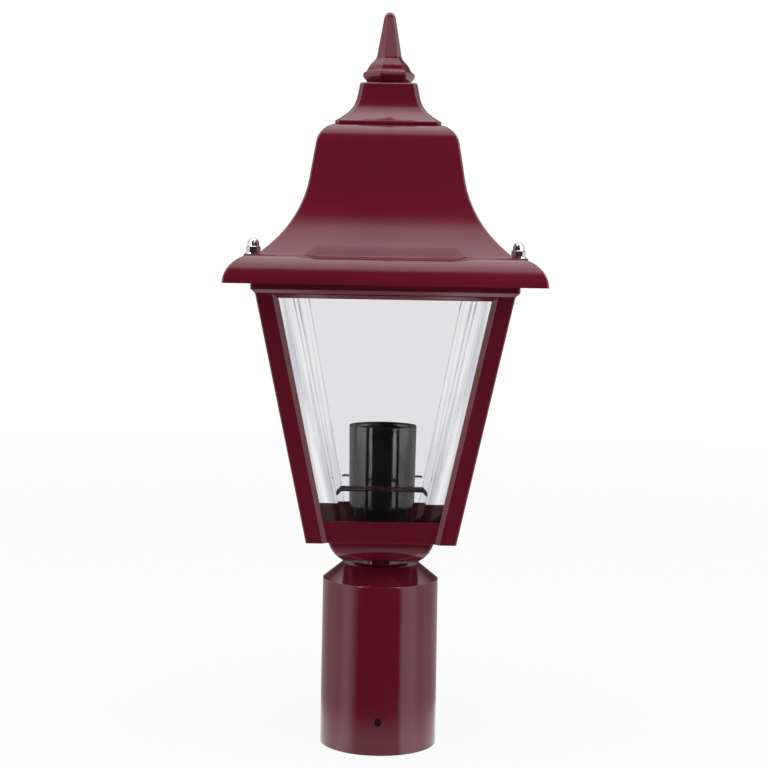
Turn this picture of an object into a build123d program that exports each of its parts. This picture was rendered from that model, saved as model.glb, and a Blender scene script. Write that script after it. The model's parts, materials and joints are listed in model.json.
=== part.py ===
from build123d import *
import os
from math import cos, radians, sin, sqrt

# Post top lantern: a square, tapering glazed lantern with a bell roof, on a round sleeve
# that slips over a 60 mm post.  Millimetres, +Z up, the front faces -Y, and the origin is
# the centre of the sleeve's foot, which is the lowest point.

os.makedirs("parts", exist_ok=True)

# ---------------------------------------------------------------- driving dimensions
# clearances
past = 1.0               # how far a cut runs past the face it opens
fit_gap = 0.3            # between parts that only lie near each other
run_gap = 0.05           # radial, for parts that turn or slide in a hole
glass_gap = 0.3          # pane edge to bar
near = 0.05              # how close a measured place is to the one looked for

# post sleeve
bore_r = 30.4            # for a 60.3 mm tube
bore_h = 86.0            # depth the post goes in
sleeve_wall = 2.1
sleeve_draft = 0.4       # the outside narrows by this much up to the shoulder
shoulder_rise = 6.9      # shoulder above the end of the bore
cone_top_r = 21.3
cone_h = 8.7
cone_wall = 2.8
cone_step = 1.4          # ledge that the post's end meets
neck_r = 15.1
neck_wall = 4.0
neck_h = 4.0
edge_round = 0.7         # softened edges of the castings

# grub screws that hold the sleeve on the post
grub_count = 3
grub_r = 2.0
grub_len = 3.0
grub_z = 18.7
grub_bevel = 0.4
grub_hex = 2.0           # across flats of the key socket
grub_hex_deep = 1.5

# bowl under the lantern, square in plan
bowl_foot_half = 20.9
bowl_mid_half = 26.3
bowl_mid_up = 5.6
bowl_top_half = 29.0
bowl_h = 12.3
bowl_wall = 2.5

# tapering frame
frame_h = 134.3          # bar foot to the bar's outside top edge
foot_half = 40.4         # half width over the bars at their foot
top_half = 67.26         # half width over the bars at their top
bar_face = 8.9           # flat front of a corner bar
bar_slope = 2.6          # sloped inner margin of a bar, wide and deep
frame_t = 4.0            # thickness of bars and top rail
bar_round = 1.0          # outer corner of a bar
rail_drop = 2.3          # window's top edge below the bar's outside top edge

# rim on top of the frame
rim_out = 2.34           # rim beyond the bars
rim_slope = 2.3          # slope under the rim
rim_h = 14.3
rim_wall = 4.1
gasket_t = 2.0
ear_w = 13.0
ear_t = 4.0
ear_drop = 3.5           # top of the ear below the top of the rim
ear_gap = 0.4            # ear to the inside of the eave

# tray, the bottom of the lantern
tray_h = 12.0
tray_floor = 1.4

# panes
pane_t = 4.0
pane_edge_t = 1.5
pane_margin = 21.3       # bevel's inner line, from the outside of the frame
pane_top_up = 7.8        # pane's top above the bar's outside top edge
side_pane_gap = 0.5

# strips that bear on the panes
strip_t = 0.8
strip_w = 7.0
strip_half = 22.6
strip_tip_out = 3.2
strip_tip_down = 3.9
strip_front_up = 29.4    # above the bar's foot
strip_rear_up = 27.6

# roof
crease_in = 3.5          # crease inside the rim's outer face
eave_a = 17.0            # eave's quarter ellipse, outward
eave_b = 15.0            # and upward
roof_wall = 2.8
bell_points = [(9.7, 9.1), (18.6, 21.8), (23.7, 34.6), (26.1, 47.3)]   # in from the crease, and up
shoulder_in = 28.1       # in from the crease
shoulder_up = 59.5       # above the crease
shoulder_mid_in = 2.7    # on from the shoulder
shoulder_mid_rise = 6.0
crown_in = 7.8           # on from the middle of the shoulder
crown_rise = 4.4
ridge_round = 0.9
seat_drop = 4.06         # flat seat inside the roof, below the crease
recess_deep = 1.1        # flats in the crease, below the crease
recess_half = 36.0
recess_in = 4.5          # their back wall, in from the crease
recess_splay = 12.0

# roof studs and dome nuts
stud_r = 2.0
stud_out = 7.1           # stud's centre beyond the crease
stud_gap = 0.3
stud_proud = 0.5         # stud below its ear, and short of its thread's end
boss_r = 5.4
boss_up = 0.6            # above the recess's floor
washer_r = 4.5
washer_t = 0.8
nut_flats = 7.0
nut_hex_h = 3.6
nut_h = 8.0
nut_shoulder = 0.3       # hexagon's flat beyond the dome
nut_bevel = 0.45
nut_cap_t = 1.6          # dome's top over the thread

# crown cap
cap_over = 0.9           # cap's lip beyond the crown
cap_lip_h = 1.8
cap_lip_step = 0.4       # top of the lip to the foot of the rise
cap_wall = 2.4
cap_floor = 0.5          # the inside of the rise lies this much lower
cap_round = 2.8          # plan corner
cap_round_in = 1.8
cap_sections = [(1.4, 2.4), (4.5, 4.6), (7.5, 7.3), (9.8, 10.6), (11.2, 14.2), (12.0, 18.0), (12.7, 21.6)]
cap_top_rise = 1.6       # top above the last section
cap_top_in = 0.2
cap_edge = 1.5

# finial, six-sided
finial_sides = 6
finial_base = 9.7        # half the distance across flats
finial_brim = 12.3
finial_brim_up = 5.2
finial_brim_h = 1.8
finial_mid = 8.6
finial_mid_rise = 3.6    # above the brim
finial_waist = 5.95
finial_waist_rise = 4.8
finial_tip = 2.9
finial_taper_h = 20.2
finial_tip_h = 3.55
finial_turn = 10.0       # front flat turned to the right
finial_thread_h = 12.0

# rod that holds finial, cap and roof together
rod_r = 3.0
rod_gap = 0.25
rod_washer_r = 9.0
rod_washer_t = 1.6
rod_nut_flats = 10.0
rod_nut_h = 5.0
rod_end = 3.0            # rod beyond its nut
rod_short = 1.0          # rod short of the end of the finial's thread

# hollow stem through tray, bowl and sleeve
stem_r = 5.0
stem_bore_r = 3.5
stem_gap = 0.2
stem_nut_flats = 14.0
stem_nut_h = 3.0
stem_washer_r = 10.0
stem_washer_t = 1.0
stem_end = 2.0
stem_grip = 6.0          # length inside the lampholder
stem_short = 1.0         # stem below the contact plate

# lampholder, from the lamp's cap outwards
barrel_bore_r = 11.1
barrel_wall = 1.1
barrel_h = 24.0
barrel_foot_step = 0.4   # wider foot, round the contacts
barrel_flange_out = 0.45
barrel_flange_t = 1.2
slot_w = 2.7
slot_down = 7.0
slot_turn = 30.0         # degrees that the lamp turns
block_gap = 0.15
block_h = 11.0
plate_t = 1.5
cover_wall = 1.8
cover_step = 1.05        # cover's foot beyond its neck
cover_h = 9.6
cover_neck_h = 8.0
cover_round = 1.5
cover_ledge = 3.2        # ledge that carries the contact plate
skirt_grip = 3.1         # skirt's foot beyond the neck
skirt_flare = 0.6
skirt_h = 45.6
skirt_wall = 1.3
skirt_ring_h = 6.0
skirt_round = 0.45
contact_off = 5.1
contact_r = 2.4
contact_round = 0.9
contact_pin_r = 1.6
contact_flange_t = 1.6
contact_pin_h = 6.5
contact_room = 0.9       # barrel's wider foot above the contacts
contact_lid = 1.6
spring_wire_r = 0.22
spring_turns = 6
spring_gap = 0.15
terminal_in = 3.45       # terminal's centre, in from the edge of the block
terminal_x = 4.4
terminal_y = 5.6
terminal_h = 7.0
terminal_gap = 0.1
terminal_lid = 1.0       # metal over the wire's hole
wire_hole_r = 1.2
wire_hole_in = 0.4       # wire's hole, in from the terminal's centre
screw_r = 1.25
screw_start = 0.8        # screw's point, out from the terminal's centre
screw_head_r = 1.9
screw_head_h = 1.2
screw_head_in = 0.5      # screw head's hole starts inside the terminal
screw_slot_w = 0.6
screw_slot_deep = 0.6

# earth terminal on the tray's floor, behind the lampholder
earth_x = 0.0
earth_y = 25.5
earth_boss_r = 3.5
earth_boss_h = 3.0
earth_boss_root = 0.5    # boss sunk in the floor
earth_screw_r = 2.0
earth_head_r = 3.6
earth_head_h = 2.4
earth_head_round = 0.8
earth_cross = 4.0
earth_cross_w = 0.9
earth_cross_deep = 1.0
earth_cup_r = 4.2
earth_cup_t = 0.8
earth_cup_gap = 0.2

# ---------------------------------------------------------------- levels and places
quarter = 90.0                               # degrees
sleeve_h = bore_h + shoulder_rise
sleeve_r = bore_r + sleeve_wall
sleeve_top_r = sleeve_r - sleeve_draft
cone_z = sleeve_h + cone_h
neck_z = cone_z + neck_h
foot_z = neck_z + bowl_h                     # underside of the tray, foot of the bars
floor_z = foot_z + tray_floor
top_z = foot_z + frame_h                     # outside top edge of the bars
window_z = top_z - rail_drop
rim_z = top_z + rim_h
seat_z = rim_z + gasket_t
crease_z = seat_z + seat_drop
eave_z = crease_z - eave_b
recess_z = crease_z - recess_deep
crown_z = crease_z + shoulder_up + shoulder_mid_rise + crown_rise
cap_h = cap_sections[-1][1] + cap_top_rise
cap_z = crown_z + cap_h
boss_z = recess_z + boss_up
nut_z = boss_z + washer_t
nut_thread_z = nut_z + nut_h - nut_cap_t     # end of the nut's thread
ear_top = rim_z - ear_drop
ear_low = ear_top - ear_t

taper = (top_half - foot_half) / frame_h
bar_w = bar_face + bar_slope
rim_half = top_half + rim_out
rim_in = rim_half - rim_wall
crease_half = rim_half - crease_in
shoulder_half = crease_half - shoulder_in
shoulder_mid_half = shoulder_half - shoulder_mid_in
crown_half = shoulder_mid_half - crown_in
recess_wall_half = crease_half - recess_in
cap_half = crown_half + cap_over
hollow_a = eave_a - roof_wall                # the space under the eave
hollow_b = eave_b - roof_wall
stud_x = crease_half + stud_out
reach = 3 * rim_half                         # longer than anything that is cut
stud_spots = {"left": -stud_x, "right": stud_x}

stem_hole_r = stem_r + stem_gap
cover_z = floor_z + stem_washer_t + stem_nut_h   # underside of the lampholder's cover
neck_low = cover_z + cover_h
neck_top = neck_low + cover_neck_h
plate_z = cover_z + cover_wall + stem_grip   # underside of the contact plate
block_z = plate_z + plate_t
block_top = block_z + block_h
barrel_top = block_top + barrel_h
barrel_foot_z = block_top + contact_pin_h + contact_room
flange_top = block_top - contact_lid - fit_gap
spring_top = flange_top - contact_flange_t
skirt_z = neck_low + fit_gap                 # lower edge of the skirt
barrel_r = barrel_bore_r + barrel_wall
barrel_foot_r = barrel_bore_r + barrel_foot_step
block_r = barrel_r + barrel_foot_step + barrel_flange_out
neck_in = block_r + block_gap                # inside of the cover's neck
cover_neck_r = neck_in + cover_wall
cover_r = cover_neck_r + cover_step
skirt_foot_r = cover_neck_r + skirt_grip
skirt_rim_r = skirt_foot_r + skirt_flare
terminal_off = block_r - terminal_in
contact_spots = {"front": -contact_off, "rear": contact_off}
sides = {"left": -1, "right": 1}


def half_at(z):
    """Half width over the bars at height z."""
    return foot_half + (z - foot_z) * taper


def eave_in(z):
    """Half width of the space under the eave at height z."""
    return crease_half + hollow_a * sqrt(1 - ((z - eave_z) / hollow_b) ** 2)


# ---------------------------------------------------------------- helpers
def cylinder(r, z0, z1, x=0.0, y=0.0):
    return Pos(x, y, z0) * Cylinder(r, z1 - z0, align=(Align.CENTER, Align.CENTER, Align.MIN))


def drill(r, z0, z1, x=0.0, y=0.0):
    """Cutter for a hole that opens at both heights."""
    return cylinder(r, z0 - past, z1 + past, x, y)


def ring(r_out, r_in, z0, z1, x=0.0, y=0.0):
    return cylinder(r_out, z0, z1, x, y) - drill(r_in, z0, z1, x, y)


def hex_prism(flats, z0, z1, x=0.0, y=0.0):
    outline = RegularPolygon(flats / 2, 6, major_radius=False)
    return Pos(x, y, z0) * extrude(outline, z1 - z0)


def block(x0, x1, y0, y1, z0, z1):
    size = Box(x1 - x0, y1 - y0, z1 - z0, align=(Align.MIN, Align.MIN, Align.MIN))
    return Pos(x0, y0, z0) * size


def square_block(half, z0, z1):
    return block(-half, half, -half, half, z0, z1)


def sideways(r, length, x, z, side):
    """Round bar that runs out to one side from x."""
    bar = Cylinder(r, length, align=(Align.CENTER, Align.CENTER, Align.MIN))
    return Pos(x, 0, z) * Rot(0, side * quarter, 0) * bar


def quarter_turns(shape):
    return [Rot(0, 0, quarter * i) * shape for i in range(4)]


def circles(shape):
    """Round edges, the lowest first."""
    return shape.edges().filter_by(GeomType.CIRCLE).sort_by(Axis.Z)


def crossed(profile, sides=4):
    """A right-hand outline in X and Z becomes a solid with that outline on every side."""
    right = make_face(Plane.XZ * profile)
    slab = extrude(right + mirror(right, Plane.YZ), reach / 2, both=True)
    solid = slab
    for i in range(1, sides // 2):
        solid = solid & (Rot(0, 0, 360 / sides * i) * slab)
    return solid


def prismoid(low, high):
    """Flat-sided solid between two outlines that have their corners in the same order."""
    faces = [Face(Wire.make_polygon(low, close=True)), Face(Wire.make_polygon(high, close=True))]
    for i in range(len(low)):
        j = (i + 1) % len(low)
        faces.append(Face(Wire.make_polygon([low[i], low[j], high[j], high[i]], close=True)))
    return Solid(Shell(faces))


def frustum(inset, z0, z1):
    """The frame's tapering block, drawn in by inset on every side."""
    def square(z):
        half = half_at(z) - inset
        return [(-half, -half, z), (half, -half, z), (half, half, z), (-half, half, z)]

    return prismoid(square(z0), square(z1))


def keep(name, shape):
    """Write one node; every node of the assembly goes through here."""
    solids = shape.solids()
    body = solids[0] if len(solids) == 1 else Compound(children=list(solids))
    export_step(body, f"parts/{name}.step")


# ---------------------------------------------------------------- sleeve and bowl
def make_sleeve():
    outside = Polyline(
        (0, 0), (sleeve_r, 0), (sleeve_top_r, sleeve_h), (cone_top_r, cone_z), (neck_r, cone_z),
        (neck_r, neck_z), (0, neck_z), close=True,
    )
    body = revolve(make_face(Plane.XZ * outside), Axis.Z)
    rims = [e for e in circles(body)
            if abs(e.radius - sleeve_top_r) < near or abs(e.radius - cone_top_r) < near]
    body = fillet(rims, edge_round)
    ceiling = cone_z - cone_wall
    inside = Polyline(
        (0, -past), (bore_r, -past), (bore_r, bore_h), (bore_r - cone_step, bore_h),
        (cone_top_r - cone_step, ceiling), (0, ceiling), close=True,
    )
    body = body - revolve(make_face(Plane.XZ * inside), Axis.Z)
    body = body - cylinder(neck_r - neck_wall, cone_z, neck_z + past)
    body = body - drill(stem_hole_r, ceiling, neck_z)
    for hole in grub_places(drill(grub_r + run_gap, bore_r, sleeve_r)):
        body = body - hole
    return body


def grub_places(shape):
    """Turn a shape drawn along +Z to point out through the sleeve: front, then the others."""
    outward = Pos(0, 0, grub_z) * Rot(quarter, 0, 0) * shape
    return [Rot(0, 0, 360 / grub_count * i) * outward for i in range(grub_count)]


def make_grub():
    """Grub screw backed off until its point is clear of the post."""
    end = bore_r + run_gap + grub_len
    screw = cylinder(grub_r, end - grub_len, end)
    screw = chamfer(screw.edges().filter_by(GeomType.CIRCLE), grub_bevel)
    return screw - hex_prism(grub_hex, end - grub_hex_deep, end + past)


def make_bowl():
    def outline(inset, z_low, z_high):
        low = (bowl_foot_half - inset, z_low)
        mid = (bowl_mid_half - inset, neck_z + bowl_mid_up)
        high = (bowl_top_half - inset, z_high)
        side = ThreePointArc(low, mid, high)
        return side + Polyline(high, (0, z_high), (0, z_low), low)

    body = crossed(outline(0, neck_z, foot_z))
    body = body - crossed(outline(bowl_wall, neck_z + bowl_wall, foot_z + past))
    return body - drill(stem_hole_r, neck_z, neck_z + bowl_wall)


# ---------------------------------------------------------------- frame
def window_cutter():
    """Front window: sloped margins down to bar_slope deep, then straight through."""
    def outline(depth, inset, z_top):
        def corner(side, z):
            return (side * (half_at(z) - inset), depth - half_at(z), z)
        low_z = foot_z - past
        return [corner(-1, low_z), corner(1, low_z), corner(1, z_top), corner(-1, z_top)]

    margin = outline(bar_slope, bar_w, window_z)
    slope = prismoid(outline(-past, bar_face - past, window_z + bar_slope + past), margin)
    straight = prismoid(margin, outline(frame_t + past, bar_w, window_z))
    return slope + straight


def make_frame():
    """Rim with its ears, and the four corner bars."""
    shell = frustum(0, foot_z, top_z) - frustum(frame_t, foot_z - past, top_z + past)
    middles = [(e, e.center()) for e in shell.edges().filter_by(GeomType.LINE)]
    sharp = [e for e, c in middles
             if abs(abs(c.X) - abs(c.Y)) < near and abs(abs(c.X) - half_at(c.Z)) < near]
    shell = fillet(sharp, bar_round)
    for cutter in quarter_turns(window_cutter()):
        shell = shell - cutter
    upper = shell & block(-reach, reach, -reach, reach, window_z, top_z)
    lower = shell & block(-reach, reach, -reach, reach, foot_z, window_z)
    bars = lower.solids()

    section = Polyline(
        (0, top_z), (top_half, top_z), (rim_half, top_z + rim_slope), (rim_half, rim_z), (0, rim_z),
        close=True,
    )
    rim = upper + crossed(section) - square_block(rim_in, top_z, rim_z + past)
    for side, x in zip(sides.values(), stud_spots.values()):
        ends = sorted((side * (rim_in + rim_wall / 2), side * (eave_in(ear_top) - ear_gap)))
        rim = rim + block(*ends, -ear_w / 2, ear_w / 2, ear_low, ear_top)
        rim = rim - drill(stud_r, ear_low, ear_top, x)
    return rim, bars


def make_tray(bars):
    wall_top = foot_z + tray_h
    pan = frustum(bar_slope, foot_z, wall_top) - frustum(frame_t, floor_z, wall_top + past)
    for bar in bars:
        pan = pan - bar
    boss_top = floor_z + earth_boss_h
    pan = pan + cylinder(earth_boss_r, floor_z - earth_boss_root, boss_top, earth_x, earth_y)
    pan = pan - drill(stem_hole_r, foot_z, floor_z)
    return pan - drill(earth_screw_r, foot_z, boss_top, earth_x, earth_y)


def pane(edge_inset):
    """Front pane, its long edges bevelled on the inside."""
    def section(z):
        half = half_at(z)
        edge = half - edge_inset
        flat = half - pane_margin
        out_y = frame_t - half
        thin_y = out_y + pane_edge_t
        thick_y = out_y + pane_t
        return [(-edge, out_y, z), (edge, out_y, z), (edge, thin_y, z), (flat, thick_y, z),
                (-flat, thick_y, z), (-edge, thin_y, z)]

    return prismoid(section(floor_z), section(top_z + pane_top_up))


def strip(up, turn):
    """Flat strip standing square on the pane's inner face, its two tips turned down."""
    z = foot_z + up
    pane_face = Plane(origin=(0, frame_t + pane_t - half_at(z), z), x_dir=(1, 0, 0), z_dir=(0, 1, taper))
    path = [(-strip_half - strip_tip_out, strip_tip_down), (-strip_half, 0), (strip_half, 0),
            (strip_half + strip_tip_out, strip_tip_down)]
    under = [(x, down + strip_t) for x, down in path]
    face = pane_face * make_face(Polyline(*path, *reversed(under), close=True))
    return Rot(0, 0, turn) * extrude(face, strip_w)


# ---------------------------------------------------------------- roof
def roof_outline():
    bell = [(crease_half - inward, crease_z + up) for inward, up in bell_points]
    shoulder_z = crease_z + shoulder_up
    eave = EllipticalCenterArc((crease_half, eave_z), eave_a, eave_b, arc_size=quarter)
    side = Spline((crease_half, crease_z), *bell, (shoulder_half, shoulder_z))
    shoulder_mid = (shoulder_mid_half, shoulder_z + shoulder_mid_rise)
    shoulder = ThreePointArc((shoulder_half, shoulder_z), shoulder_mid, (crown_half, crown_z))
    closing = Polyline((crown_half, crown_z), (0, crown_z), (0, eave_z), (crease_half + eave_a, eave_z))
    return eave + side + shoulder + closing


def bell_hollow():
    """What is open inside the bell, above the seat."""
    start = (recess_wall_half - roof_wall, crease_z + recess_deep)
    bell = [(crease_half - inward - roof_wall, crease_z + up) for inward, up in bell_points]
    top = (shoulder_half - roof_wall, crease_z + shoulder_up)
    ceiling = crown_z - roof_wall
    low_z = seat_z - past
    closing = Polyline(top, (crown_half, ceiling), (0, ceiling), (0, low_z), (start[0], low_z), start)
    return crossed(Spline(start, *bell, top) + closing)


def eave_hollow():
    """What is open under the eave, up to the seat."""
    low = (crease_half + hollow_a, eave_z - past)
    knee = (crease_half + hollow_a, eave_z)
    mid_z = (eave_z + seat_z) / 2
    high = (eave_in(seat_z), seat_z)
    arc = ThreePointArc(knee, (eave_in(mid_z), mid_z), high)
    return crossed(arc + Polyline(high, (0, seat_z), (0, eave_z - past), low, knee))


def make_roof():
    body = crossed(roof_outline())
    ridges = [e for e in body.edges() if abs(abs(e.center().X) - abs(e.center().Y)) < near]
    body = fillet(ridges, ridge_round)
    far = recess_half + recess_splay
    back = recess_wall_half + recess_splay
    flat = make_face(Polyline(
        (-recess_half, recess_wall_half), (recess_half, recess_wall_half), (far, back), (-far, back),
        close=True,
    ))
    for cutter in quarter_turns(Pos(0, 0, recess_z) * extrude(flat, eave_b)):
        body = body - cutter
    for x in stud_spots.values():
        body = body + cylinder(boss_r, rim_z, boss_z, x)
    body = body - bell_hollow() - eave_hollow()
    for x in stud_spots.values():
        body = body - drill(stud_r + stud_gap, eave_z, boss_z, x)
    return body - drill(rod_r + rod_gap, crown_z - roof_wall, crown_z)


def make_cap():
    def layer(half, z, corner):
        return Pos(0, 0, z) * RectangleRounded(2 * half, 2 * half, corner).face()

    lip_z = crown_z + cap_lip_h
    lip = extrude(layer(cap_half, crown_z, cap_round), cap_lip_h)
    rise = [(cap_half - inward, crown_z + up) for inward, up in cap_sections]
    outside = [layer(cap_half - cap_lip_step, lip_z, cap_round)]
    outside += [layer(half, z, cap_round) for half, z in rise]
    outside += [layer(rise[-1][0] - cap_top_in, cap_z, cap_round)]
    body = loft(outside)
    body = fillet(body.faces().sort_by(Axis.Z)[-1].edges(), cap_edge)
    inside = [layer(cap_half - cap_wall, crown_z - past, cap_round_in)]
    inside += [layer(half - cap_wall, z - cap_floor, cap_round_in) for half, z in rise[:-1]]
    return lip + body - loft(inside, ruled=True) - drill(rod_r + rod_gap, crown_z, cap_z)


def make_finial():
    brim_z = cap_z + finial_brim_up
    brim_top = brim_z + finial_brim_h
    mid_z = brim_top + finial_mid_rise
    waist_z = mid_z + finial_waist_rise
    tip_z = waist_z + finial_taper_h
    base = (finial_base, cap_z)
    brim_low = (finial_brim, brim_z)
    brim_high = (finial_brim, brim_top)
    waist = (finial_waist, waist_z)
    tip_edge = (finial_tip, tip_z)
    tip = (0, tip_z + finial_tip_h)
    brim = RadiusArc(brim_low, brim_high, -finial_brim_h)
    flare = Spline(brim_high, (finial_mid, mid_z), waist, tangents=((-1, 0.25), (-0.12, 1)))
    point = Spline(tip_edge, tip, tangents=((-0.1, 1), (-1, 0)))
    outline = Polyline((0, cap_z), base, brim_low) + brim + flare + Line(waist, tip_edge) + point
    body = crossed(outline + Line(tip, (0, cap_z)), finial_sides)
    body = body - cylinder(rod_r + run_gap, cap_z - past, cap_z + finial_thread_h)
    return Rot(0, 0, finial_turn - quarter) * body


# ---------------------------------------------------------------- roof fixings
def make_dome_nut(x):
    hex_top = nut_z + nut_hex_h
    dome_r = nut_flats / 2 - nut_shoulder
    dome_z = nut_z + nut_h - dome_r
    turned = cylinder(nut_flats / sqrt(3), nut_z, hex_top, x)
    turned = chamfer(circles(turned)[-1], nut_bevel)
    body = hex_prism(nut_flats, nut_z, hex_top, x) & turned
    body = body + cylinder(dome_r, nut_z, dome_z, x) + Pos(x, 0, dome_z) * Sphere(dome_r)
    return body - cylinder(stud_r + run_gap, nut_z - past, nut_thread_z, x)


def make_rod():
    low = crown_z - roof_wall - rod_washer_t - rod_nut_h - rod_end
    return cylinder(rod_r, low, cap_z + finial_thread_h - rod_short)


# ---------------------------------------------------------------- lampholder
def make_cover():
    outside = cylinder(cover_r, cover_z, neck_low)
    outside = fillet(circles(outside)[0], cover_round)
    outside = outside + cylinder(cover_neck_r, neck_low, neck_top)
    floor = cover_z + cover_wall
    hollow = cylinder(neck_in, floor, neck_top + past)
    ledge = ring(neck_in + cover_wall / 2, neck_in - cover_ledge, floor, plate_z)
    return outside - hollow + ledge - drill(stem_r + run_gap, cover_z, floor)


def make_skirt():
    top = skirt_z + skirt_h
    inner_r = cover_neck_r + run_gap
    wall = Polyline(
        (skirt_foot_r - skirt_wall, skirt_z), (skirt_foot_r, skirt_z), (skirt_rim_r, top),
        (skirt_rim_r - skirt_wall, top), close=True,
    )
    shell = revolve(make_face(Plane.XZ * wall), Axis.Z)
    shell = shell + ring(skirt_foot_r - skirt_wall / 2, inner_r, skirt_z, skirt_z + skirt_ring_h)
    rims = [e for e in circles(shell)
            if abs(e.center().Z - top) < near or abs(e.radius - skirt_foot_r) < near]
    return fillet(rims, skirt_round)


def make_barrel():
    tube = ring(barrel_r, barrel_bore_r, barrel_foot_z, barrel_top)
    tube = tube + ring(barrel_r + barrel_foot_step, barrel_foot_r, block_top, barrel_foot_z)
    tube = tube + ring(block_r, barrel_foot_r, block_top, block_top + barrel_flange_t)
    inside = barrel_bore_r - past
    outside = barrel_r + past
    slot_z = barrel_top - slot_down
    down = block(inside, outside, -slot_w / 2, slot_w / 2, slot_z, barrel_top + past)
    turn = radians(slot_turn)
    wedge = make_face(Polyline((0, 0), (reach, 0), (reach * cos(turn), reach * sin(turn)), close=True))
    across = ring(outside, inside, slot_z, slot_z + slot_w) & (Pos(0, 0, slot_z) * extrude(wedge, slot_w))
    for side in sides.values():
        facing = Rot(0, 0, quarter + side * quarter)
        tube = tube - facing * down - facing * across
    return tube


def make_block():
    body = cylinder(block_r, block_z, block_top)
    for y in contact_spots.values():
        body = body - cylinder(contact_r + run_gap, block_z - past, block_top - contact_lid, 0, y)
        body = body - drill(contact_pin_r + run_gap, block_z, block_top, 0, y)
    x_half = terminal_x / 2 + terminal_gap
    y_half = terminal_y / 2 + terminal_gap
    screw_z = block_z + terminal_h / 2
    for side in sides.values():
        x = side * terminal_off
        body = body - block(x - x_half, x + x_half, -y_half, y_half, block_z - past,
                            block_z + terminal_h + terminal_gap)
        start = side * (terminal_off + terminal_x / 2 - screw_head_in)
        body = body - sideways(screw_head_r + terminal_gap, reach, start, screw_z, side)
    return body


def make_terminal(side):
    x = side * terminal_off
    top = block_z + terminal_h
    body = block(x - terminal_x / 2, x + terminal_x / 2, -terminal_y / 2, terminal_y / 2, block_z, top)
    body = body - cylinder(wire_hole_r, block_z - past, top - terminal_lid, x - side * wire_hole_in)
    return body - sideways(screw_r, reach, x, block_z + terminal_h / 2, side)


def make_terminal_screw(side):
    z = block_z + terminal_h / 2
    start = terminal_off + screw_start
    seat = terminal_off + terminal_x / 2
    end = seat + screw_head_h
    screw = sideways(screw_r, seat - start, side * start, z, side)
    screw = screw + sideways(screw_head_r, screw_head_h, side * seat, z, side)
    ends = sorted((side * (end - screw_slot_deep), side * (end + past)))
    return screw - block(*ends, -reach, reach, z - screw_slot_w / 2, z + screw_slot_w / 2)


def make_contact(y):
    flange = cylinder(contact_r, spring_top, flange_top, 0, y)
    pin = cylinder(contact_pin_r, flange_top, block_top + contact_pin_h, 0, y)
    return flange + fillet(circles(pin)[-1], contact_round)


def make_contact_spring(y):
    height = spring_top - block_z - 2 * spring_wire_r
    coil_r = contact_r - spring_wire_r - spring_gap
    coil = Helix(pitch=height / spring_turns, height=height, radius=coil_r)
    wire = Plane(origin=coil @ 0, z_dir=coil % 0) * Circle(spring_wire_r)
    return Pos(0, y, block_z + spring_wire_r) * sweep(wire, path=coil, is_frenet=True)


# ---------------------------------------------------------------- earth terminal
def make_earth_screw():
    seat = floor_z + earth_boss_h + earth_cup_t
    top = seat + earth_head_h
    shank = cylinder(earth_screw_r, foot_z, seat, earth_x, earth_y)
    head = cylinder(earth_head_r, seat, top, earth_x, earth_y)
    head = fillet(circles(head)[-1], earth_head_round)
    deep = 2 * earth_cross_deep
    cross = Box(earth_cross, earth_cross_w, deep) + Box(earth_cross_w, earth_cross, deep)
    return shank + head - Pos(earth_x, earth_y, top) * cross


# ---------------------------------------------------------------- build everything
keep("post_sleeve", make_sleeve())
grubs = grub_places(make_grub())
for name, screw in zip(("front", "right", "left"), grubs):
    keep(f"grub_screw_{name}", screw)
keep("base_bowl", make_bowl())

rim, bars = make_frame()
keep("frame_rim", rim)
for bar in bars:
    x_side = "right" if bar.center().X > 0 else "left"
    y_side = "rear" if bar.center().Y > 0 else "front"
    keep(f"corner_bar_{y_side}_{x_side}", bar)
keep("base_tray", make_tray(bars))

wide_pane = pane(frame_t + glass_gap)
narrow_pane = pane(frame_t + pane_edge_t + side_pane_gap)
panes = {"front": wide_pane, "right": narrow_pane, "rear": wide_pane, "left": narrow_pane}
for i, (name, shape) in enumerate(panes.items()):
    keep(f"glass_{name}", Rot(0, 0, quarter * i) * shape)
keep("glass_strip_front", strip(strip_front_up, 0))
keep("glass_strip_rear", strip(strip_rear_up, 2 * quarter))

gasket = square_block(rim_half, rim_z, seat_z) - square_block(rim_in, rim_z - past, seat_z + past)
keep("roof_gasket", gasket)
keep("roof_shell", make_roof())
keep("crown_cap", make_cap())
keep("finial", make_finial())

roof_under = crown_z - roof_wall
rod_washer_z = roof_under - rod_washer_t
rod_nut_z = rod_washer_z - rod_nut_h
keep("finial_rod", make_rod())
keep("rod_washer", ring(rod_washer_r, rod_r + rod_gap, rod_washer_z, roof_under))
keep("rod_nut", hex_prism(rod_nut_flats, rod_nut_z, rod_washer_z) - drill(rod_r, rod_nut_z, rod_washer_z))

for name, x in stud_spots.items():
    keep(f"roof_stud_{name}", cylinder(stud_r, ear_low - stud_proud, nut_thread_z - stud_proud, x))
    keep(f"stud_washer_{name}", ring(washer_r, stud_r + stud_gap, boss_z, nut_z, x))
    keep(f"dome_nut_{name}", make_dome_nut(x))

low_washer_z = cone_z - cone_wall - stem_washer_t
low_nut_z = low_washer_z - stem_nut_h
keep("stem_tube", ring(stem_r, stem_bore_r, low_nut_z - stem_end, plate_z - stem_short))
clamps = {"lower": (low_washer_z, low_nut_z), "upper": (floor_z, floor_z + stem_washer_t)}
for name, (washer_z, clamp_z) in clamps.items():
    nut_top = clamp_z + stem_nut_h
    keep(f"stem_washer_{name}", ring(stem_washer_r, stem_hole_r, washer_z, washer_z + stem_washer_t))
    keep(f"stem_nut_{name}", hex_prism(stem_nut_flats, clamp_z, nut_top) - drill(stem_r, clamp_z, nut_top))

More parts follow.
